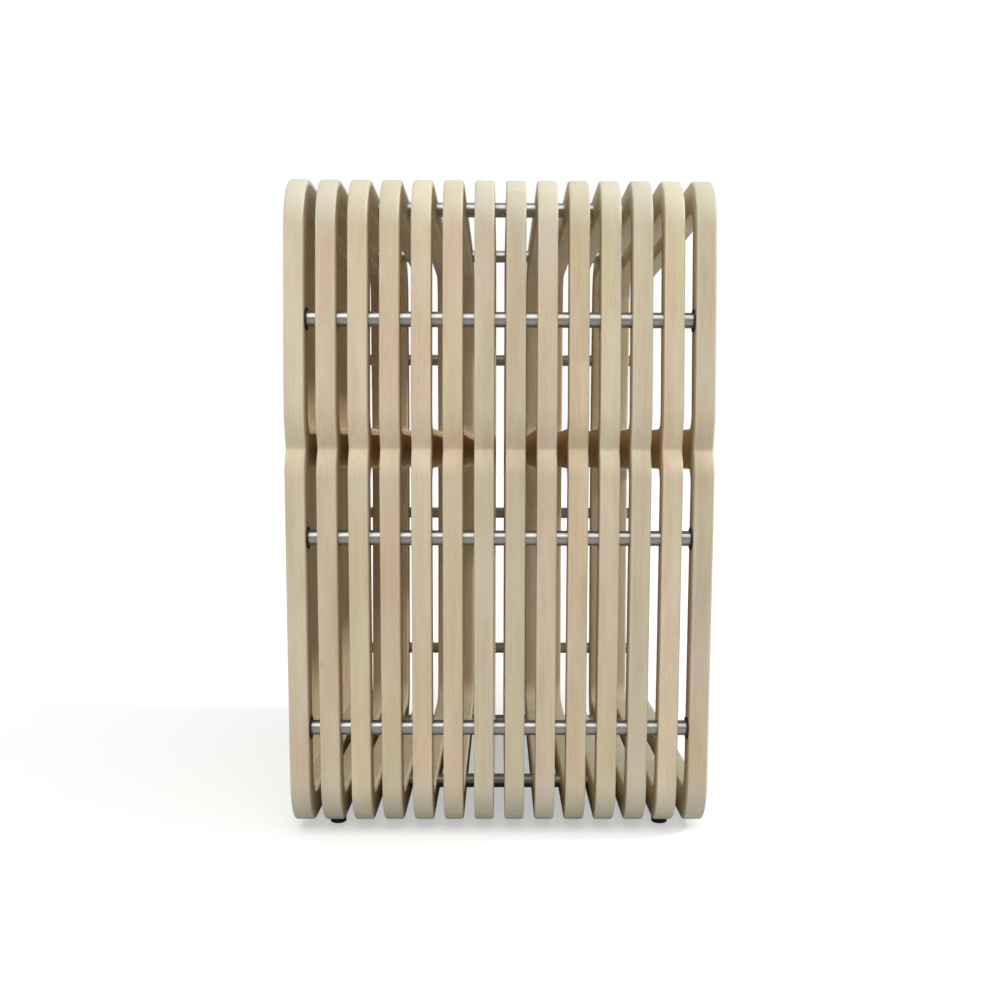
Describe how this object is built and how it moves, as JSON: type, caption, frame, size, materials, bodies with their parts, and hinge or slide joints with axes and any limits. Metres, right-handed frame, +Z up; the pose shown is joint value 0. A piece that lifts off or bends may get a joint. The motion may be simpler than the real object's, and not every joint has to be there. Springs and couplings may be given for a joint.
{
  "type": "wine rack",
  "caption": "Free-standing wine rack of parallel two-bay wooden ribs strung on stainless steel rods, closed at the left end by a thin panel, for bottles laid in from the right.",
  "frame": {"origin": "on the floor under the middle of the rack", "axes": "+X to the right along the rods as seen from the front, +Y towards the back, +Z up"},
  "size_m": [0.4296, 0.5694, 0.6755],
  "materials": {
    "pale_wood": "bleached and waxed, fine straight grain",
    "stainless_rod": "bright drawn stainless steel",
    "screw_steel": "satin stainless steel",
    "black_rubber": "matt black"
  },
  "bodies": {
    "root": {"rib_01": "pale_wood", "rib_02": "pale_wood", "rib_03": "pale_wood", "rib_04": "pale_wood", "rib_05": "pale_wood", "rib_06": "pale_wood", "rib_07": "pale_wood", "rib_08": "pale_wood", "rib_09": "pale_wood", "rib_10": "pale_wood", "rib_11": "pale_wood", "rib_12": "pale_wood", "rib_13": "pale_wood", "rib_14": "pale_wood", "rod_front_upper": "stainless_rod", "rod_front_middle": "stainless_rod", "rod_front_lower": "stainless_rod", "rod_back_upper": "stainless_rod", "rod_back_middle": "stainless_rod", "rod_back_lower": "stainless_rod", "rod_top_front": "stainless_rod", "rod_bottom_front": "stainless_rod", "rod_top_back": "stainless_rod", "rod_bottom_back": "stainless_rod", "screw_front_upper_left": "screw_steel", "screw_front_upper_right": "screw_steel", "screw_front_middle_left": "screw_steel", "screw_front_middle_right": "screw_steel", "screw_front_lower_left": "screw_steel", "screw_front_lower_right": "screw_steel", "screw_back_upper_left": "screw_steel", "screw_back_upper_right": "screw_steel", "screw_back_middle_left": "screw_steel", "screw_back_middle_right": "screw_steel", "screw_back_lower_left": "screw_steel", "screw_back_lower_right": "screw_steel", "end_panel": "pale_wood", "panel_screw_1": "screw_steel", "panel_screw_2": "screw_steel", "panel_screw_3": "screw_steel", "panel_screw_4": "screw_steel", "washer_front_upper_left": "black_rubber", "washer_front_upper_right": "black_rubber", "washer_front_middle_left": "black_rubber", "washer_front_middle_right": "black_rubber", "washer_front_lower_left": "black_rubber", "washer_front_lower_right": "black_rubber", "washer_back_upper_left": "black_rubber", "washer_back_upper_right": "black_rubber", "washer_back_middle_left": "black_rubber", "washer_back_middle_right": "black_rubber", "washer_back_lower_left": "black_rubber", "washer_back_lower_right": "black_rubber", "foot_front_left": "black_rubber", "foot_front_right": "black_rubber", "foot_back_left": "black_rubber", "foot_back_right": "black_rubber"}
  },
  "joints": []
}
